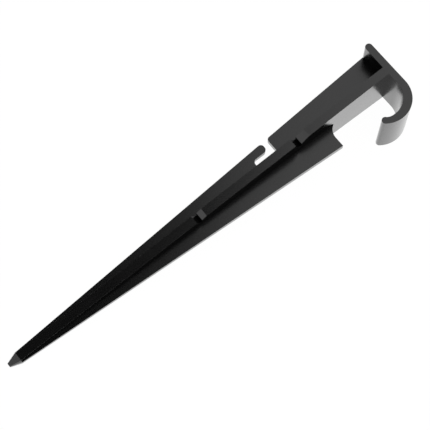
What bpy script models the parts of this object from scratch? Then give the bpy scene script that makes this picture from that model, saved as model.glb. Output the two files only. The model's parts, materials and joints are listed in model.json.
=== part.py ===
# Drip tube stake: a moulded plastic stake that holds a 16 mm drip line in its hook
# and a thin feeder tube in its slot. It lies on its back edges, with its front face up.
# Along the stake: x, from the point to the head. Across it: y, with the hook on the minus side.
# Through it: z, with the two webs in the middle plane.

import bpy
import bmesh
from math import asin, atan, atan2, cos, pi, radians, sin, tan
from mathutils import Vector

mm = 0.001

# Driving dimensions
stake_length = 203.0 * mm
gap = 0.3 * mm

spine_width = 3.9 * mm
half_depth_tip = 1.9 * mm
half_depth_head = 12.0 * mm

web_thickness = 2.2 * mm
web_reach_tip = 2.3 * mm
web_reach_head = 14.2 * mm

plate_thickness = 3.3 * mm
plate_end_y = 14.5 * mm
plate_end_radius = 1.6 * mm
socket_depth = 1.0 * mm

hook_root_y = -8.8 * mm
hook_wall = 3.5 * mm
hook_outer_radius = 12.1 * mm
hook_inner_radius = 10.0 * mm
lip_start_x = 188.9 * mm
lip_inner_radius = 5.1 * mm
lip_corner_radius = 1.5 * mm
lip_end_outside = radians(-136)
lip_end_inside = radians(-149)

upper_barb_x = 148.5 * mm
upper_barb_step = 1.4 * mm
upper_notch_length = 3.2 * mm
upper_ramp_length = 4.2 * mm
upper_ramp_drop = 2.3 * mm
lower_barb_x = 95.5 * mm
lower_barb_step = 0.6 * mm
lower_notch_length = 2.8 * mm
lower_ramp_length = 2.4 * mm
lower_ramp_drop = 1.2 * mm
notch_slope = radians(45)

slot_floor_x = 132.35 * mm
slot_width = 4.5 * mm
slot_corner_radius = 1.9 * mm
finger_root_x = 134.6 * mm
finger_end_x = 140.3 * mm
finger_inner_radius = 1.8 * mm
web_corner_radius = 1.3 * mm
upper_web_end_x = 143.35 * mm

right_web_end_x = 166.7 * mm
right_web_end_radius = 6.2 * mm
right_web_end_rise = 3.3 * mm

point_length = 5.05 * mm
point_half_width = 2.6 * mm
point_end_half_width = 0.9 * mm
point_end_half_depth = 0.6 * mm
point_flat_width = 0.78
point_flat_depth = 0.42

black = (0.025, 0.025, 0.026, 1.0)
web_inner_y = spine_width / 2 + gap
web_start_x = point_length + gap
plate_inside_x = stake_length - plate_thickness
finger_y = spine_width / 2 + slot_width


def half_depth(x):
    return half_depth_tip + (half_depth_head - half_depth_tip) * x / stake_length


def web_reach(x):
    return web_reach_tip + (web_reach_head - web_reach_tip) * x / stake_length


def on_circle(center, radius, angle):
    return center[0] + radius * cos(angle), center[1] + radius * sin(angle)


def arc(center, radius, start, end, steps):
    turn = (end - start) / steps
    return [on_circle(center, radius, start + turn * i) for i in range(steps + 1)]


def direction(center, point):
    return atan2(point[1] - center[1], point[0] - center[0])


def rounded(corners, steps=5):
    """Outline through corners given as (x, y, radius), each corner rounded by its radius."""
    points = []
    for i, (x, y, radius) in enumerate(corners):
        if radius == 0:
            points.append((x, y))
            continue
        here = Vector((x, y))
        back = (Vector(corners[i - 1][:2]) - here).normalized()
        ahead = (Vector(corners[(i + 1) % len(corners)][:2]) - here).normalized()
        half_angle = back.angle(ahead) / 2
        reach = radius / tan(half_angle)
        center = here + (back + ahead).normalized() * radius / sin(half_angle)
        start = direction(center, here + back * reach)
        turn = (direction(center, here + ahead * reach) - start + pi) % (2 * pi) - pi
        points += arc(center, radius, start, start + turn, steps)
    return points


# Centres of the hook's arcs: the outer wall, the inner wall and the inside of the lip
widest_y = hook_root_y - hook_outer_radius + hook_wall
outer_center = (stake_length - hook_outer_radius, hook_root_y)
inner_center = (plate_inside_x - hook_inner_radius, widest_y + hook_inner_radius)
lip_center = (lip_start_x, widest_y + lip_inner_radius)

hook_pivot = Vector((stake_length - plate_thickness / 2, hook_root_y - gap / 2))
finger_pivot = Vector((finger_root_x, (finger_y + web_reach(finger_root_x)) / 2))


def plastic(name):
    material = bpy.data.materials.new(name)
    material.use_nodes = True
    shader = material.node_tree.nodes["Principled BSDF"]
    shader.inputs["Base Color"].default_value = black
    shader.inputs["Roughness"].default_value = 0.45
    shader.inputs["Metallic"].default_value = 0.0
    return material


def add_empty(name, parts, location, parent=None):
    empty = bpy.data.objects.new(name, None)
    empty.location = location
    empty.parent = parent
    parts.objects.link(empty)
    return empty


def flat_piece(name, outline, thickness, parts, parent, upright=False):
    """A piece of one thickness, with its outline in x and y, or in x and z if it is upright."""
    curve = bpy.data.curves.new(name, "CURVE")
    curve.dimensions = "2D"
    curve.fill_mode = "BOTH"
    curve.extrude = thickness / 2
    spline = curve.splines.new("POLY")
    spline.points.add(len(outline) - 1)
    for point, (x, y) in zip(spline.points, outline):
        point.co = (x, y, 0, 1)
    spline.use_cyclic_u = True
    curve.materials.append(plastic(name))
    piece = bpy.data.objects.new(name, curve)
    piece.rotation_euler.x = pi / 2 if upright else 0
    piece.parent = parent
    weld = piece.modifiers.new("weld", "WELD")
    weld.merge_threshold = 0.00001
    parts.objects.link(piece)
    return piece


def add_hammer_plate(parts, stake):
    """The flat head that is pushed or hammered. The spine's end sits in its underside."""
    corners = [
        (stake_length, hook_root_y, 0),
        (stake_length, plate_end_y, plate_end_radius),
        (plate_inside_x, plate_end_y, plate_end_radius),
        (plate_inside_x, web_inner_y, 0),
        (plate_inside_x + socket_depth, web_inner_y, 0),
        (plate_inside_x + socket_depth, -web_inner_y, 0),
        (plate_inside_x, -web_inner_y, 0),
        (plate_inside_x, hook_root_y, 0),
    ]
    flat_piece("hammer_plate", rounded(corners), 2 * half_depth_head, parts, stake)


def hook_outline():
    """Round the hook from its root: the outer wall, the lip's blunt end, then the inner wall."""
    outer_root = asin(-gap / hook_outer_radius)
    inner_root = asin((hook_root_y - gap - inner_center[1]) / hook_inner_radius)
    room = 1.2 * lip_corner_radius
    outer_end = lip_end_outside + room / hook_outer_radius
    lip_start = lip_end_inside + room / lip_inner_radius
    widest = -pi / 2
    outer = arc(outer_center, hook_outer_radius, outer_root, widest, 12)
    outer += arc(outer_center, hook_outer_radius, widest, outer_end, 5)[1:]
    lip = arc(lip_center, lip_inner_radius, lip_start, widest, 4)
    inner = arc(inner_center, hook_inner_radius, widest, inner_root, 14)
    corners = [(*point, 0) for point in outer]
    corners.append((*on_circle(outer_center, hook_outer_radius, lip_end_outside), lip_corner_radius))
    corners.append((*on_circle(lip_center, lip_inner_radius, lip_end_inside), lip_corner_radius))
    corners += [(*point, 0) for point in lip + inner]
    return rounded(corners)


def add_hook_arm(parts, flex):
    """The arched arm that springs over the drip line, with its in-curled lip."""
    arm = flat_piece("hook_arm", hook_outline(), 2 * half_depth_head, parts, flex)
    arm.location = (-hook_pivot.x, -hook_pivot.y, 0)


def notch(barb_x, step, notch_length, ramp_length, ramp_drop):
    """From a barb towards the head: the notch that slopes in from the barb's step, then the ramp."""
    start = barb_x + gap
    floor = half_depth(barb_x) - step
    foot = barb_x + notch_length
    ramp_end = foot + ramp_length
    return [
        (start, floor - gap * tan(notch_slope)),
        (foot, floor - notch_length * tan(notch_slope)),
        (foot, half_depth(foot) - ramp_drop),
        (ramp_end, half_depth(ramp_end)),
    ]


def add_spine(name, front, end, parts, stake):
    """A length of the full-depth rib, from the front outline of its lower end to its upper end."""
    front = front + [(end, half_depth(end))]
    back = [(x, -z) for x, z in reversed(front)]
    flat_piece(name, front + back, spine_width, parts, stake, upright=True)


def add_left_webs(parts, stake):
    """The web on the side away from the hook, above and below the slot for the feeder tube."""
    top = plate_inside_x - gap
    upper = [
        (upper_web_end_x, web_inner_y, 0),
        (top, web_inner_y, 0),
        (top, web_reach(top), 0),
        (upper_web_end_x, web_reach(upper_web_end_x), web_corner_radius),
    ]
    flat_piece("left_web_upper", rounded(upper), web_thickness, parts, stake)
    under_finger = finger_root_x - gap
    corner_x = slot_floor_x + slot_corner_radius
    spine_side = (corner_x, spine_width / 2 + slot_corner_radius)
    finger_side = (corner_x, finger_y - slot_corner_radius)
    spine_turn = asin((spine_side[1] - web_inner_y) / slot_corner_radius)
    lower = [(web_start_x, web_reach(web_start_x)), (web_start_x, web_inner_y)]
    lower += arc(spine_side, slot_corner_radius, pi + spine_turn, pi, 4)
    lower += arc(finger_side, slot_corner_radius, pi, pi / 2, 5)
    lower += [(under_finger, finger_y), (under_finger, web_reach(under_finger))]
    flat_piece("left_web_lower", lower, web_thickness, parts, stake)


def add_slot_finger(parts, flex):
    """The springy finger beside the slot, rounded at its end to lead the feeder tube in."""
    corners = [
        (finger_root_x, finger_y, 0),
        (finger_end_x, finger_y, finger_inner_radius),
        (finger_end_x, web_reach(finger_end_x), web_corner_radius),
        (finger_root_x, web_reach(finger_root_x), 0),
    ]
    finger = flat_piece("slot_finger", rounded(corners), web_thickness, parts, flex)
    finger.location = (-finger_pivot.x, -finger_pivot.y, 0)


def add_right_web(parts, stake):
    """The web on the hook side, its upper end rising in an arc where it meets the spine."""
    radius = right_web_end_radius
    reach = (radius ** 2 - (radius - right_web_end_rise) ** 2) ** 0.5
    center = (right_web_end_x + radius, -spine_width / 2 - reach)
    spine_turn = asin((-web_inner_y - center[1]) / radius)
    outline = [
        (web_start_x, -web_inner_y),
        (web_start_x, -web_reach(web_start_x)),
        (right_web_end_x, -web_reach(right_web_end_x)),
    ]
    outline += arc(center, radius, pi, pi - spine_turn, 6)
    flat_piece("right_web", outline, web_thickness, parts, stake)


def add_point(parts, stake):
    """The blunt point, a block drawn in at one end, with its long edges chamfered."""
    mesh = bpy.data.meshes.new("point")
    block = bmesh.new()
    bmesh.ops.create_cube(block, size=2.0)
    wide = 1 / (1 - point_flat_width)
    deep = 1 / (1 - point_flat_depth)
    bmesh.ops.scale(block, verts=block.verts, vec=(1, wide, deep))
    long_edges = [edge for edge in block.edges if edge.verts[0].co.x != edge.verts[1].co.x]
    bmesh.ops.bevel(block, geom=long_edges, offset=1.0, offset_type="OFFSET", segments=1, profile=0.5,
                    affect="EDGES")
    for vert in block.verts:
        at_base = vert.co.x > 0
        width = point_half_width if at_base else point_end_half_width
        depth = half_depth(point_length) if at_base else point_end_half_depth
        vert.co = (point_length * at_base, vert.co.y * width / wide, vert.co.z * depth / deep)
    block.to_mesh(mesh)
    block.free()
    mesh.materials.append(plastic("point"))
    piece = bpy.data.objects.new("point", mesh)
    piece.parent = stake
    parts.objects.link(piece)


def lay_down(parts):
    """An empty that lays the stake on its lip and its point, centred on the bottom of its box."""
    lip_x = min(x for x, y in hook_outline())
    rise = half_depth_head - half_depth(point_length)
    pitch = atan(rise / (lip_x - point_length))
    low_x = -point_end_half_depth * sin(pitch)
    high_x = stake_length * cos(pitch) + half_depth_head * sin(pitch)
    middle_y = (plate_end_y + hook_root_y - hook_outer_radius) / 2
    bottom = lip_x * sin(pitch) - half_depth_head * cos(pitch)
    stake = add_empty("stake_frame", parts, (-(low_x + high_x) / 2, -middle_y, -bottom))
    stake.rotation_euler.y = -pitch
    return stake


def main():
    for old in list(bpy.data.objects):
        bpy.data.objects.remove(old)
    parts = bpy.data.collections.new("drip_tube_stake")
    bpy.context.scene.collection.children.link(parts)
    stake = lay_down(parts)
    hook_flex = add_empty("hook_flex", parts, (hook_pivot.x, hook_pivot.y, 0), stake)
    finger_flex = add_empty("finger_flex", parts, (finger_pivot.x, finger_pivot.y, 0), stake)
    add_hammer_plate(parts, stake)
    add_hook_arm(parts, hook_flex)
    socket_x = plate_inside_x + socket_depth
    upper = notch(upper_barb_x, upper_barb_step, upper_notch_length, upper_ramp_length, upper_ramp_drop)
    lower = notch(lower_barb_x, lower_barb_step, lower_notch_length, lower_ramp_length, lower_ramp_drop)
    add_spine("spine_upper", upper, socket_x - gap, parts, stake)
    add_spine("spine_middle", lower, upper_barb_x, parts, stake)
    add_spine("spine_lower", [(web_start_x, half_depth(web_start_x))], lower_barb_x, parts, stake)
    add_left_webs(parts, stake)
    add_slot_finger(parts, finger_flex)
    add_right_web(parts, stake)
    add_point(parts, stake)


main()
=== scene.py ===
import json
from math import asin, cos, pi, radians, sin, sqrt, tan

import bmesh
import bpy
from mathutils import Matrix, Vector


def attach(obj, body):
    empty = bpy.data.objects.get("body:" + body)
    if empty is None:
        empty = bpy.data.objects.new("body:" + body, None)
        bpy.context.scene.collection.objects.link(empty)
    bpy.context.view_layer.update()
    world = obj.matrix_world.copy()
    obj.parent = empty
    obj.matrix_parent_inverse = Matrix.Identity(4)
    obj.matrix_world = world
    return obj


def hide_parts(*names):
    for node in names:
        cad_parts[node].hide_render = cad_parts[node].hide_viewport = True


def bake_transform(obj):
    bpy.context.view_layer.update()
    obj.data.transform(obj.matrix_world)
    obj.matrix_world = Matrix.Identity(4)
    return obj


# Drip tube stake: one black plastic moulding, drawn in the stake's own millimetres, then laid down
# by the frame. x runs from the point to the head, y across with the hook on the minus side, and z
# through the stake.

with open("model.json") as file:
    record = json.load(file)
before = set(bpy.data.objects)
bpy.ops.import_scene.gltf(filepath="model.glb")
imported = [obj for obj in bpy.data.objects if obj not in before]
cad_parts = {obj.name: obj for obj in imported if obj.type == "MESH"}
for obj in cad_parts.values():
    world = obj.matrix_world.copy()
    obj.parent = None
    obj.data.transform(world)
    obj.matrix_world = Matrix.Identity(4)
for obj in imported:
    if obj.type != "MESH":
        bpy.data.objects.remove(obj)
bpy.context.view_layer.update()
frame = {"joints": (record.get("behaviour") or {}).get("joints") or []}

mm = 0.001
jointList = {joint["name"]: joint for joint in frame["joints"]}

layDown = {
    "hookPivot": (201.35, -8.95, 0.0),   # where the hook_flex joint sits on the stake
}

shape = {
    "length": 203.0,
    "spineWidth": 3.9,
    "halfDepthTip": 1.894,               # a hair under the solid's, so that the piece stays in its box
    "halfDepthHead": 12.0,
    "webThickness": 2.2,                 # half way along the stake
    "webThinning": 0.45,                 # share that is lost at the point and added at the head
    "webReachTip": 2.3,
    "webReachHead": 14.2,
}

# What runs into the head or the point goes on inside it, drawn in a little, for a clean join
tenon = {
    "length": 0.7,
    "drawIn": 0.45,
}


def onStake(x, y, z=0.0):
    return Vector((x, y, z)) * mm


def stakeToWorld():
    joint = jointList["hook_flex"]
    up = Vector(joint["axis"]).normalized()
    across = Vector((0, 1, 0))
    along = across.cross(up)
    matrix = Matrix((along, across, up)).transposed().to_4x4()
    matrix.translation = Vector(joint["pos_m"]) - matrix @ onStake(*layDown["hookPivot"])
    return matrix


lay = stakeToWorld()


# Drawing: an outline grows from its last point, then it is filled and pulled to its thickness

drawing = {
    "samePoint": 0.001,                  # points closer than this are one
}


def startOutline(x, y):
    bm = bmesh.new()
    return bm, bm.verts.new((x, y, 0))


def lineTo(bm, last, x, y):
    corner = bmesh.ops.extrude_vert_indiv(bm, verts=[last])["verts"][0]
    corner.co = (x, y, 0)
    return corner


def arcTo(bm, last, center, turn, steps):
    made = bmesh.ops.spin(bm, geom=[last], cent=(*center, 0), axis=(0, 0, 1), dvec=(0, 0, 0),
                          angle=turn, steps=steps, use_merge=False, use_duplicate=False)
    return made["geom_last"][0]


# corners lists what is rounded off, each as x, y, radius and steps
def fillOutline(bm, corners=()):
    bmesh.ops.remove_doubles(bm, verts=bm.verts, dist=drawing["samePoint"])
    bmesh.ops.contextual_create(bm, geom=list(bm.edges))
    for x, y, radius, steps in corners:
        corner = min(bm.verts, key=lambda vert: (vert.co - Vector((x, y, 0))).length)
        bmesh.ops.bevel(bm, geom=[corner], offset=radius, offset_type="OFFSET", segments=steps,
                        profile=0.5, affect="VERTICES", clamp_overlap=False, material=-1)


def pullOut(bm, thickness):
    made = bmesh.ops.extrude_face_region(bm, geom=list(bm.faces))
    lifted = [item for item in made["geom"] if isinstance(item, bmesh.types.BMVert)]
    bmesh.ops.translate(bm, verts=lifted, vec=(0, 0, thickness))
    bmesh.ops.translate(bm, verts=bm.verts, vec=(0, 0, -thickness / 2))
    bmesh.ops.recalc_face_normals(bm, faces=bm.faces)


def toObject(bm, name):
    mesh = bpy.data.meshes.new(name)
    bm.to_mesh(mesh)
    bm.free()
    thing = bpy.data.objects.new(name, mesh)
    bpy.context.scene.collection.objects.link(thing)
    return thing


def merge(base, others):
    for other in others:
        join = base.modifiers.new("join", "BOOLEAN")
        join.operation = "UNION"
        join.solver = "EXACT"
        join.object = other
    bpy.context.view_layer.update()
    graph = bpy.context.evaluated_depsgraph_get()
    mesh = bpy.data.meshes.new_from_object(base.evaluated_get(graph))
    base.modifiers.clear()
    base.data = mesh
    for other in others:
        bpy.data.objects.remove(other)
    return base


def halfDepth(x):
    grow = (shape["halfDepthHead"] - shape["halfDepthTip"]) / head["insideX"]
    return shape["halfDepthTip"] + grow * x


def webReach(x):
    grow = (shape["webReachHead"] - shape["webReachTip"]) / shape["length"]
    return shape["webReachTip"] + grow * x


# Point: a block drawn in to a blunt end, with a flat chamfer along each of its four long edges

point = {
    "baseX": 5.05,
    "endHalfWidth": 0.9,
    "endHalfDepth": 0.6,
    "flatWidth": 0.78,                   # share of the width that stays flat in front
    "flatDepth": 0.42,                   # share of the depth that stays flat at the sides
}


def buildPoint():
    baseX = point["baseX"]
    wide = 1 / (1 - point["flatWidth"])
    deep = 1 / (1 - point["flatDepth"])
    bm = bmesh.new()
    bmesh.ops.create_cube(bm, size=2.0)
    longEdges = [edge for edge in bm.edges if edge.verts[0].co.x != edge.verts[1].co.x]
    bmesh.ops.scale(bm, verts=bm.verts, vec=(1, wide, deep))
    bmesh.ops.bevel(bm, geom=longEdges, offset=1.0, offset_type="OFFSET", segments=1, profile=0.5,
                    affect="EDGES", clamp_overlap=False, material=-1)
    for vert in bm.verts:
        atBase = vert.co.x > 0
        halfWidth = webReach(baseX) if atBase else point["endHalfWidth"]
        halfHeight = halfDepth(baseX) if atBase else point["endHalfDepth"]
        vert.co = (baseX * atBase, vert.co.y * halfWidth / wide, vert.co.z * halfHeight / deep)
    bmesh.ops.recalc_face_normals(bm, faces=bm.faces)
    return toObject(bm, "tip")


# Head: the flat plate runs on into the hook, which ends in a blunt, in-curled lip

head = {
    "insideX": 199.7,
    "plateEndY": 14.5,
    "plateEndRadius": 1.6,
    "plateEndSteps": 10,
    "hookRootY": -8.8,
    "outerRadius": 12.1,
    "widestY": -17.4,
    "innerRadius": 10.0,
    "lipStartX": 188.9,
    "lipRadius": 5.1,
    "lipCornerRadius": 1.6,
    "lipCornerRoom": 1.2,                # the arcs stop this many radii short of the lip's corners
    "lipCornerSteps": 8,
    "lipEndOutside": radians(-136),
    "lipEndInside": radians(-149),
    "outerSteps": 64,
    "innerSteps": 40,
    "lipSteps": 18,
}


def onCircle(center, radius, angle):
    return center[0] + radius * cos(angle), center[1] + radius * sin(angle)


def buildHead():
    h = head
    outer = (shape["length"] - h["outerRadius"], h["hookRootY"])
    inner = (h["insideX"] - h["innerRadius"], h["widestY"] + h["innerRadius"])
    lip = (h["lipStartX"], h["widestY"] + h["lipRadius"])
    lipOutside = onCircle(outer, h["outerRadius"], h["lipEndOutside"])
    lipInside = onCircle(lip, h["lipRadius"], h["lipEndInside"])
    cornerRoom = h["lipCornerRadius"] * h["lipCornerRoom"]
    arcEnd = h["lipEndOutside"] + cornerRoom / h["outerRadius"]
    arcStart = h["lipEndInside"] + cornerRoom / h["lipRadius"]
    bm, pen = startOutline(shape["length"], h["hookRootY"])
    pen = arcTo(bm, pen, outer, arcEnd, h["outerSteps"])
    pen = lineTo(bm, pen, *lipOutside)
    pen = lineTo(bm, pen, *lipInside)
    pen = lineTo(bm, pen, *onCircle(lip, h["lipRadius"], arcStart))
    pen = arcTo(bm, pen, lip, -pi / 2 - arcStart, h["lipSteps"])
    pen = lineTo(bm, pen, inner[0], h["widestY"])
    pen = arcTo(bm, pen, inner, pi / 2, h["innerSteps"])
    pen.co.x = h["insideX"]              # takes out the arc's rounding
    pen = lineTo(bm, pen, h["insideX"], h["plateEndY"])
    pen = lineTo(bm, pen, shape["length"], h["plateEndY"])
    lineTo(bm, pen, shape["length"], h["hookRootY"])
    fillOutline(bm, [
        (h["insideX"], h["plateEndY"], h["plateEndRadius"], h["plateEndSteps"]),
        (shape["length"], h["plateEndY"], h["plateEndRadius"], h["plateEndSteps"]),
        (*lipOutside, h["lipCornerRadius"], h["lipCornerSteps"]),
        (*lipInside, h["lipCornerRadius"], h["lipCornerSteps"]),
    ])
    pullOut(bm, 2 * shape["halfDepthHead"])
    return toObject(bm, "head")


# Spine: the full-depth rib, stepped by two barbs on its front edge and on its back edge

spine = {
    "barbs": (
        {"x": 95.5, "step": 0.6, "notchLength": 2.8, "rampDrop": 1.2, "rampLength": 2.4},
        {"x": 148.5, "step": 1.4, "notchLength": 3.2, "rampDrop": 2.3, "rampLength": 4.2},
    ),
    "notchSlope": radians(45),
}


# a barb's own wall goes straight in by its step, then the notch slopes down to the ramp's foot
def notchCorners(barb):
    topHeight = halfDepth(barb["x"])
    footX = barb["x"] + barb["notchLength"]
    rampEnd = footX + barb["rampLength"]
    return [
        (barb["x"], topHeight),
        (barb["x"], topHeight - barb["step"]),
        (footX, topHeight - barb["step"] - barb["notchLength"] * tan(spine["notchSlope"])),
        (footX, halfDepth(footX) - barb["rampDrop"]),
        (rampEnd, halfDepth(rampEnd)),
    ]


def buildSpine():
    startX = point["baseX"]
    pointX = startX - tenon["length"]
    headX = head["insideX"]
    headHeight = shape["halfDepthHead"]
    drawnHeight = headHeight - tenon["drawIn"]
    bm, pen = startOutline(startX, -halfDepth(startX))
    pen = lineTo(bm, pen, pointX, -halfDepth(pointX) + tenon["drawIn"])
    pen = lineTo(bm, pen, pointX, halfDepth(pointX) - tenon["drawIn"])
    pen = lineTo(bm, pen, startX, halfDepth(startX))
    for barb in spine["barbs"]:
        for x, y in notchCorners(barb):
            pen = lineTo(bm, pen, x, y)
    pen = lineTo(bm, pen, headX, headHeight)
    pen = lineTo(bm, pen, headX + tenon["length"], drawnHeight)
    pen = lineTo(bm, pen, headX + tenon["length"], -drawnHeight)
    pen = lineTo(bm, pen, headX, -headHeight)
    for barb in reversed(spine["barbs"]):
        for x, y in reversed(notchCorners(barb)):
            pen = lineTo(bm, pen, x, -y)
    lineTo(bm, pen, startX, -halfDepth(startX))
    fillOutline(bm)
    pullOut(bm, shape["spineWidth"])
    bm.transform(Matrix(((1, 0, 0), (0, 0, -1), (0, 1, 0))).to_4x4())
    return toObject(bm, "spine")


# Webs: the thin cross ribs, with the feeder tube's slot and its finger on the left

webs = {
    "slotFloorX": 132.35,
    "slotWidth": 4.5,
    "slotRadius": 1.9,
    "slotSteps": 12,
    "slotArcEnd": radians(235),          # where the slot's arc turns into the spine
    "slotArcSteps": 8,
    "fingerEndX": 140.3,
    "fingerRadius": 1.8,
    "fingerInnerSteps": 10,
    "fingerOuterSteps": 8,
    "upperEndX": 143.35,
    "upperEndRadius": 1.3,
    "upperEndSteps": 8,
    "rightEndX": 166.7,
    "rightEndRadius": 6.2,
    "rightEndRise": 3.3,
    "rightEndSteps": 24,
    "insideSpineY": 0.8,                 # the outline turns back inside the spine
    "intoHead": 1.3,                     # tenon lengths that the webs go on inside the head
}


def buildWebs():
    w = webs
    side = shape["spineWidth"] / 2
    startX = point["baseX"]
    pointX = startX - tenon["length"]
    reach = sqrt(w["rightEndRadius"] ** 2 - (w["rightEndRadius"] - w["rightEndRise"]) ** 2)
    endCenter = (w["rightEndX"] + w["rightEndRadius"], -side - reach)
    endTurn = -asin(reach / w["rightEndRadius"])
    insideX = head["insideX"] + tenon["length"] * w["intoHead"]
    slotX = w["slotFloorX"] + w["slotRadius"]
    fingerY = side + w["slotWidth"]
    bm, pen = startOutline(startX, -webReach(startX))
    pen = lineTo(bm, pen, w["rightEndX"], -webReach(w["rightEndX"]))
    pen = lineTo(bm, pen, w["rightEndX"], endCenter[1])
    pen = arcTo(bm, pen, endCenter, endTurn, w["rightEndSteps"])
    pen = lineTo(bm, pen, pen.co.x, -w["insideSpineY"])
    pen = lineTo(bm, pen, insideX, -w["insideSpineY"])
    pen = lineTo(bm, pen, insideX, webReach(insideX))
    pen = lineTo(bm, pen, w["upperEndX"], webReach(w["upperEndX"]))
    pen = lineTo(bm, pen, w["upperEndX"], w["insideSpineY"])
    slotCenter = (slotX, side + w["slotRadius"])
    slotStart = onCircle(slotCenter, w["slotRadius"], w["slotArcEnd"])
    inward = (slotStart[1] - w["insideSpineY"]) / tan(1.5 * pi - w["slotArcEnd"])
    pen = lineTo(bm, pen, slotStart[0] + inward, w["insideSpineY"])
    pen = lineTo(bm, pen, *slotStart)
    pen = arcTo(bm, pen, slotCenter, pi - w["slotArcEnd"], w["slotArcSteps"])
    pen = lineTo(bm, pen, w["slotFloorX"], fingerY - w["slotRadius"])
    pen = arcTo(bm, pen, (slotX, fingerY - w["slotRadius"]), -pi / 2, w["slotSteps"])
    pen = lineTo(bm, pen, w["fingerEndX"], fingerY)
    pen = lineTo(bm, pen, w["fingerEndX"], webReach(w["fingerEndX"]))
    pen = lineTo(bm, pen, startX, webReach(startX))
    pen = lineTo(bm, pen, pointX, webReach(pointX) - tenon["drawIn"])
    pen = lineTo(bm, pen, pointX, -webReach(pointX) + tenon["drawIn"])
    lineTo(bm, pen, startX, -webReach(startX))
    fillOutline(bm, [
        (w["upperEndX"], webReach(w["upperEndX"]), w["upperEndRadius"], w["upperEndSteps"]),
        (w["fingerEndX"], fingerY, w["fingerRadius"], w["fingerInnerSteps"]),
        (w["fingerEndX"], webReach(w["fingerEndX"]), w["fingerRadius"], w["fingerOuterSteps"]),
    ])
    pullOut(bm, shape["webThickness"])
    for vert in bm.verts:
        vert.co.z *= 1 + shape["webThinning"] * (2 * vert.co.x / shape["length"] - 1)
    return toObject(bm, "webs")


# Rounding: every outer edge of the joined moulding gets a small radius

rounding = {
    "radius": 0.025,
    "segments": 2,
    "sharpFrom": radians(12.5),          # angle between faces from which an edge is rounded
    "flatBelow": radians(0.2),           # faces that meet at less become one
    "samePoint": 0.02,                   # points that the joining left closer than this are one
}


def softenEdges(whole):
    r = rounding
    bm = bmesh.new()
    bm.from_mesh(whole.data)
    bmesh.ops.remove_doubles(bm, verts=bm.verts, dist=r["samePoint"])
    bmesh.ops.dissolve_limit(bm, angle_limit=r["flatBelow"], verts=bm.verts, edges=bm.edges)
    sharp = [edge for edge in bm.edges if edge.calc_face_angle(0) > r["sharpFrom"]]
    outer = [edge for edge in sharp if edge.is_convex]
    bmesh.ops.bevel(bm, geom=outer, offset=r["radius"], offset_type="OFFSET", segments=r["segments"],
                    profile=0.5, affect="EDGES", clamp_overlap=False, material=-1)
    for edge in bm.edges:                # inside corners stay crisp
        edge.smooth = edge.is_convex or edge.calc_face_angle(0) < r["sharpFrom"]
    bm.to_mesh(whole.data)
    bm.free()


# The whole moulding, then its two springy features parted from it where they start to bend

parting = {
    "hookY": -7.5,                       # the hook is parted here and bends up to hookBendY
    "hookBendY": -10.5,
    "hookFromX": 180.0,
    "fingerX": 134.4,                    # the finger is parted here and bends up to fingerBendX
    "fingerBendX": 137.0,
    "fingerToX": 141.8,
    "fingerFromY": 6.0,
    "fingerLoops": 5,                    # loops across the finger where it bends
    "onPlane": 0.0001,                   # points nearer than this to a cut lie on it
    "samePoint": 0.004,                  # points of a finished piece that are closer become one
}


def inRegion(bm, inside):
    verts = [vert for vert in bm.verts if inside(vert.co)]
    edges = [edge for edge in bm.edges if any(inside(vert.co) for vert in edge.verts)]
    faces = [face for face in bm.faces if any(inside(vert.co) for vert in face.verts)]
    return verts + edges + faces


# takes away what lies past a plane, on the side that its normal points to
def cutAway(bm, place, normal, inside=lambda co: True):
    bmesh.ops.bisect_plane(bm, geom=inRegion(bm, inside), dist=parting["onPlane"], plane_co=place,
                           plane_no=normal, clear_outer=True, clear_inner=False)
    openEdges = [edge for edge in bm.edges if edge.is_boundary]
    bmesh.ops.holes_fill(bm, edges=openEdges, sides=0)
    for edge in openEdges:
        edge.smooth = False              # a crisp rim, so that no shading runs over the seam


def parted(whole, name, cuts):
    bm = bmesh.new()
    bm.from_mesh(whole.data)
    for cut in cuts:
        cutAway(bm, *cut)
    return toObject(bm, name)


def addLoops(piece, fromX, toX, count):
    bm = bmesh.new()
    bm.from_mesh(piece.data)
    for step in range(1, count + 1):
        place = (fromX + (toX - fromX) * step / count, 0, 0)
        bmesh.ops.bisect_plane(bm, geom=list(bm.verts) + list(bm.edges) + list(bm.faces),
                               dist=parting["onPlane"], plane_co=place, plane_no=(1, 0, 0))
    bm.to_mesh(piece.data)
    bm.free()


def finishMesh(piece):
    bm = bmesh.new()
    bm.from_mesh(piece.data)
    bmesh.ops.remove_doubles(bm, verts=bm.verts, dist=parting["samePoint"])
    bmesh.ops.scale(bm, verts=bm.verts, vec=(mm, mm, mm))
    bm.transform(lay)
    bmesh.ops.recalc_face_normals(bm, faces=bm.faces)
    bm.to_mesh(piece.data)
    bm.free()
    piece.data.shade_smooth()
    normals = piece.modifiers.new("flat faces", "WEIGHTED_NORMAL")
    normals.mode = "FACE_AREA"
    normals.weight = 100
    normals.keep_sharp = True
    piece.data.materials.clear()
    piece.data.materials.append(blackPlastic)


def buildMoulding():
    whole = merge(buildHead(), [buildSpine(), buildWebs(), buildPoint()])
    softenEdges(whole)
    p = parting
    hook = parted(whole, "moulded_hook", [
        ((p["hookFromX"], 0, 0), (-1, 0, 0)),
        ((0, p["hookY"], 0), (0, 1, 0)),
    ])
    finger = parted(whole, "moulded_finger", [
        ((p["fingerToX"], 0, 0), (1, 0, 0)),
        ((p["fingerX"], 0, 0), (-1, 0, 0)),
        ((0, p["fingerFromY"], 0), (0, -1, 0)),
    ])
    addLoops(finger, p["fingerX"], p["fingerBendX"], p["fingerLoops"])
    stake = parted(whole, "moulded_stake", [
        ((0, p["hookY"], 0), (0, -1, 0), lambda co: co.x > p["hookFromX"]),
        ((p["fingerX"], 0, 0), (1, 0, 0),
         lambda co: p["fingerX"] < co.x < p["fingerToX"] and co.y > p["fingerFromY"]),
    ])
    bpy.data.objects.remove(whole)
    return stake, hook, finger


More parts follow.
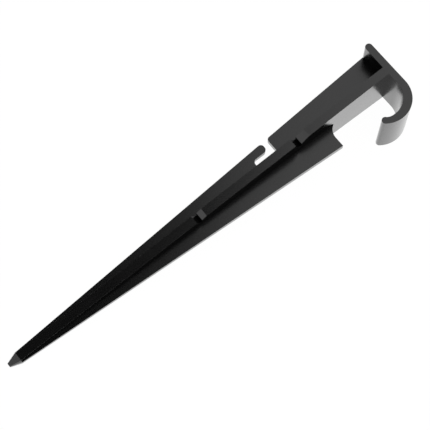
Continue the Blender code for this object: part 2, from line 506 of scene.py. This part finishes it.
# Black plastic: dark satin skin with fine mould grain, faint flow lines and light handling marks

plastic = {
    "dark": (0.0004, 0.0004, 0.00045, 1.0),
    "rubbed": (0.0025, 0.0025, 0.0026, 1.0),
    "roughness": 0.24,
    "roughnessSpread": 0.04,
    "coatRoughness": 0.26,
    "refraction": 1.55,
    "grainSize": 7000.0,
    "grainDetail": 3.0,
    "grainDepth": 0.10,
    "grainReach": 0.00002,
    "mottleSize": 90.0,
    "mottleDetail": 4.0,
    "flowStretch": (8.0, 260.0, 260.0),
    "flowDetail": 5.0,
    "flowWaviness": 0.6,
    "flowFrom": 0.52,
    "flowTo": 0.72,
}


def newGroup(name, inputs, outputs):
    group = bpy.data.node_groups.new(name, "ShaderNodeTree")
    for label, kind, value in inputs:
        socket = group.interface.new_socket(label, in_out="INPUT", socket_type=kind)
        if value is not None:
            socket.default_value = value
    for label, kind in outputs:
        group.interface.new_socket(label, in_out="OUTPUT", socket_type=kind)
    return group, group.nodes.new("NodeGroupInput"), group.nodes.new("NodeGroupOutput")


def addNode(tree, kind, **settings):
    node = tree.nodes.new(kind)
    for name, value in settings.items():
        setattr(node, name, value)
    return node


def grainGroup():
    group, given, result = newGroup(
        "mould grain",
        [("Vector", "NodeSocketVector", None), ("Scale", "NodeSocketFloat", plastic["grainSize"])],
        [("Height", "NodeSocketFloat"), ("Mottle", "NodeSocketFloat")],
    )
    link = group.links.new
    fine = addNode(group, "ShaderNodeTexNoise")
    fine.inputs["Detail"].default_value = plastic["grainDetail"]
    broad = addNode(group, "ShaderNodeTexNoise")
    broad.inputs["Scale"].default_value = plastic["mottleSize"]
    broad.inputs["Detail"].default_value = plastic["mottleDetail"]
    link(given.outputs["Vector"], fine.inputs["Vector"])
    link(given.outputs["Scale"], fine.inputs["Scale"])
    link(given.outputs["Vector"], broad.inputs["Vector"])
    link(fine.outputs["Fac"], result.inputs["Height"])
    link(broad.outputs["Fac"], result.inputs["Mottle"])
    return group


def flowGroup():
    group, given, result = newGroup(
        "flow lines",
        [("Vector", "NodeSocketVector", None)],
        [("Mask", "NodeSocketFloat")],
    )
    link = group.links.new
    stretch = addNode(group, "ShaderNodeMapping")
    stretch.inputs["Scale"].default_value = plastic["flowStretch"]
    streak = addNode(group, "ShaderNodeTexNoise")
    streak.inputs["Scale"].default_value = 1.0
    streak.inputs["Detail"].default_value = plastic["flowDetail"]
    streak.inputs["Distortion"].default_value = plastic["flowWaviness"]
    contrast = addNode(group, "ShaderNodeMapRange")
    contrast.inputs["From Min"].default_value = plastic["flowFrom"]
    contrast.inputs["From Max"].default_value = plastic["flowTo"]
    link(given.outputs["Vector"], stretch.inputs["Vector"])
    link(stretch.outputs["Vector"], streak.inputs["Vector"])
    link(streak.outputs["Fac"], contrast.inputs["Value"])
    link(contrast.outputs["Result"], result.inputs["Mask"])
    return group


def blackPlasticMaterial():
    material = bpy.data.materials.new("black moulded plastic")
    material.use_nodes = True
    tree = material.node_tree
    link = tree.links.new
    shader = tree.nodes["Principled BSDF"]
    place = addNode(tree, "ShaderNodeTexCoord")
    grain = addNode(tree, "ShaderNodeGroup", node_tree=grainGroup())
    flow = addNode(tree, "ShaderNodeGroup", node_tree=flowGroup())
    tint = addNode(tree, "ShaderNodeMix", data_type="RGBA")
    tint.inputs["A"].default_value = plastic["dark"]
    tint.inputs["B"].default_value = plastic["rubbed"]
    satin = addNode(tree, "ShaderNodeMapRange")
    satin.inputs["To Min"].default_value = plastic["roughness"] - plastic["roughnessSpread"]
    satin.inputs["To Max"].default_value = plastic["roughness"] + plastic["roughnessSpread"]
    bump = addNode(tree, "ShaderNodeBump")
    bump.inputs["Strength"].default_value = plastic["grainDepth"]
    bump.inputs["Distance"].default_value = plastic["grainReach"]
    link(place.outputs["Object"], grain.inputs["Vector"])
    link(place.outputs["Object"], flow.inputs["Vector"])
    link(flow.outputs["Mask"], tint.inputs["Factor"])
    link(tint.outputs["Result"], shader.inputs["Base Color"])
    link(grain.outputs["Mottle"], satin.inputs["Value"])
    link(satin.outputs["Result"], shader.inputs["Roughness"])
    link(grain.outputs["Height"], bump.inputs["Height"])
    link(bump.outputs["Normal"], shader.inputs["Normal"])
    shader.inputs["IOR"].default_value = plastic["refraction"]
    shader.inputs["Coat Weight"].default_value = 1.0
    shader.inputs["Coat Roughness"].default_value = plastic["coatRoughness"]
    shader.inputs["Coat IOR"].default_value = plastic["refraction"]
    return material


blackPlastic = blackPlasticMaterial()
print("material made")

stakePiece, hookPiece, fingerPiece = buildMoulding()
for piece in (stakePiece, hookPiece, fingerPiece):
    finishMesh(piece)
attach(stakePiece, "stake")
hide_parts("hammer_plate", "spine_upper", "spine_middle", "spine_lower",
            "left_web_upper", "left_web_lower", "right_web", "point")
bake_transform(hookPiece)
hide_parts("hook_arm")
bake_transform(fingerPiece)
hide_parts("slot_finger")
print("moulding made")


# Floor and surroundings: white to the eye and in reflections, plain for light; dimmer where mirrored
# twice, as painted shade in the plastic's inner corners

room = {
    "floorSize": 8.0,
    "floorPaint": 0.8,                   # what lights the plastic softly from below
    "floorGlow": 0.985,                  # what is seen of the floor, in the picture or mirrored
    "floorShade": 0.03,                  # lets a trace of real light and shadow into it
    "worldFill": 0.45,                   # soft light from all round
    "horizonZ": 0.30,                    # mirrored walls are white up to here and fade upwards
    "darkFromZ": 0.72,
    "overheadLevel": 0.0,
    "cornerShadeShare": 0.33,                 # share left of the floor and the walls where they are mirrored twice, as painted shade in the plastic's inner corners
    "lampCornerShadeShare": 0.04,             # the same painted corner shade for the soft boxes
}


# gives 1 for rays that show the surroundings, straight to the camera or mirrored
def seenDirectly(tree):
    path = addNode(tree, "ShaderNodeLightPath")
    seen = addNode(tree, "ShaderNodeMath", operation="MAXIMUM")
    tree.links.new(path.outputs["Is Camera Ray"], seen.inputs[0])
    tree.links.new(path.outputs["Is Glossy Ray"], seen.inputs[1])
    return path, seen.outputs["Value"]


# gives a level that drops to a share of itself past the given ray depth: painted shade for the plastic's
# inner corners, which mirror the surroundings more than once
def paintedCornerShade(tree, path, depth, level, cornerShadeShare):
    fade = addNode(tree, "ShaderNodeMapRange")
    fade.inputs["From Min"].default_value = depth + 0.4
    fade.inputs["From Max"].default_value = depth + 0.6
    fade.inputs["To Min"].default_value = level
    fade.inputs["To Max"].default_value = level * cornerShadeShare
    tree.links.new(path.outputs["Ray Depth"], fade.inputs["Value"])
    return fade.outputs["Result"]


def buildFloor():
    bm = bmesh.new()
    bmesh.ops.create_grid(bm, x_segments=1, y_segments=1, size=room["floorSize"] / 2)
    floor = toObject(bm, "floor")
    material = bpy.data.materials.new("white floor")
    material.use_nodes = True
    tree = material.node_tree
    tree.nodes.clear()
    output = addNode(tree, "ShaderNodeOutputMaterial")
    paint = addNode(tree, "ShaderNodeBsdfDiffuse")
    paint.inputs["Color"].default_value = (room["floorPaint"],) * 3 + (1,)
    glow = addNode(tree, "ShaderNodeEmission")
    shade = addNode(tree, "ShaderNodeBsdfDiffuse")
    shade.inputs["Color"].default_value = (room["floorShade"],) * 3 + (1,)
    seen = addNode(tree, "ShaderNodeAddShader")
    mix = addNode(tree, "ShaderNodeMixShader")
    path, direct = seenDirectly(tree)
    # the glow drops where it is mirrored twice: painted shade in the plastic's inner corners
    level = paintedCornerShade(tree, path, 1, room["floorGlow"], room["cornerShadeShare"])
    tree.links.new(level, glow.inputs["Strength"])
    tree.links.new(glow.outputs[0], seen.inputs[0])
    tree.links.new(shade.outputs[0], seen.inputs[1])
    tree.links.new(direct, mix.inputs[0])
    tree.links.new(paint.outputs[0], mix.inputs[1])
    tree.links.new(seen.outputs[0], mix.inputs[2])
    tree.links.new(mix.outputs[0], output.inputs["Surface"])
    floor.data.materials.append(material)


def buildWorld():
    world = bpy.data.worlds.new("studio")
    bpy.context.scene.world = world
    world.use_nodes = True
    tree = world.node_tree
    link = tree.links.new
    background = tree.nodes["Background"]
    place = addNode(tree, "ShaderNodeTexCoord")
    split = addNode(tree, "ShaderNodeSeparateXYZ")
    fade = addNode(tree, "ShaderNodeMapRange", interpolation_type="SMOOTHSTEP")
    fade.inputs["From Min"].default_value = room["horizonZ"]
    fade.inputs["From Max"].default_value = room["darkFromZ"]
    fade.inputs["To Max"].default_value = room["overheadLevel"]
    glossy = addNode(tree, "ShaderNodeMix", data_type="FLOAT")
    glossy.inputs["A"].default_value = room["worldFill"]
    camera = addNode(tree, "ShaderNodeMix", data_type="FLOAT")
    camera.inputs["B"].default_value = 1.0
    path, direct = seenDirectly(tree)
    link(place.outputs["Generated"], split.inputs["Vector"])
    link(split.outputs["Z"], fade.inputs["Value"])
    # the surroundings dim where they are mirrored twice: painted shade in the plastic's inner corners
    link(paintedCornerShade(tree, path, 1, 1.0, room["cornerShadeShare"]), fade.inputs["To Min"])
    link(direct, glossy.inputs["Factor"])
    link(fade.outputs["Result"], glossy.inputs["B"])
    link(path.outputs["Is Camera Ray"], camera.inputs["Factor"])
    link(glossy.outputs["Result"], camera.inputs["A"])
    link(camera.outputs["Result"], background.inputs["Strength"])
    background.inputs["Color"].default_value = (1, 1, 1, 1)


# Soft boxes overhead, square to the camera, with a dark gap between them

boxes = {
    "headBox": {"from": (-0.025, -0.6), "to": (0.9, 1.1), "height": 0.565, "level": 0.65},
    "pointBox": {"from": (-1.2, -0.6), "to": (-0.45, 1.1), "height": 0.565, "level": 0.73},
}


def addSoftBox(name, box):
    left, near = box["from"]
    right, far = box["to"]
    light = bpy.data.lights.new(name, "AREA")
    light.shape = "RECTANGLE"
    light.size = right - left
    light.size_y = far - near
    light.energy = box["level"] * pi * light.size * light.size_y
    light.use_nodes = True
    tree = light.node_tree
    path = addNode(tree, "ShaderNodeLightPath")
    # the lamp dims where it is mirrored twice: painted shade in the plastic's inner corners
    level = paintedCornerShade(tree, path, 2, 1.0, room["lampCornerShadeShare"])  # a lamp's ray depth is one more
    tree.links.new(level, tree.nodes["Emission"].inputs["Strength"])
    lamp = bpy.data.objects.new(name, light)
    middle = Vector(((left + right) / 2, (near + far) / 2, box["height"]))
    turn = Matrix.Rotation(shot["azimuth"], 4, "Z")
    lamp.matrix_world = turn @ Matrix.Translation(middle)
    bpy.context.scene.collection.objects.link(lamp)


# Camera: above the stake, a little to the hook's side and towards the point

shot = {
    "place": (-17.7, -154.7, 556.2),
    "azimuth": radians(-38.79),
    "elevation": radians(70.59),
    "focalPixels": 1410.43,
    "framePixels": 430,
    "sensor": 36.0,
    "clipStart": 0.01,
}


def buildCamera():
    data = bpy.data.cameras.new("camera")
    data.sensor_width = shot["sensor"]
    data.lens = shot["sensor"] * shot["focalPixels"] / shot["framePixels"]
    data.clip_start = shot["clipStart"]
    camera = bpy.data.objects.new("camera", data)
    a, e = shot["azimuth"], shot["elevation"]
    right = Vector((cos(a), sin(a), 0))
    up = Vector((-sin(a) * sin(e), cos(a) * sin(e), cos(e)))
    back = Vector((sin(a) * cos(e), -cos(a) * cos(e), sin(e)))
    turn = Matrix((right, up, back)).transposed().to_4x4()
    turn.translation = onStake(*shot["place"])
    camera.matrix_world = lay @ turn
    bpy.context.scene.collection.objects.link(camera)
    bpy.context.scene.camera = camera


buildFloor()
buildWorld()
for boxName, boxValues in boxes.items():
    addSoftBox(boxName, boxValues)
buildCamera()
bpy.context.scene.view_settings.view_transform = "Standard"
print("studio made")
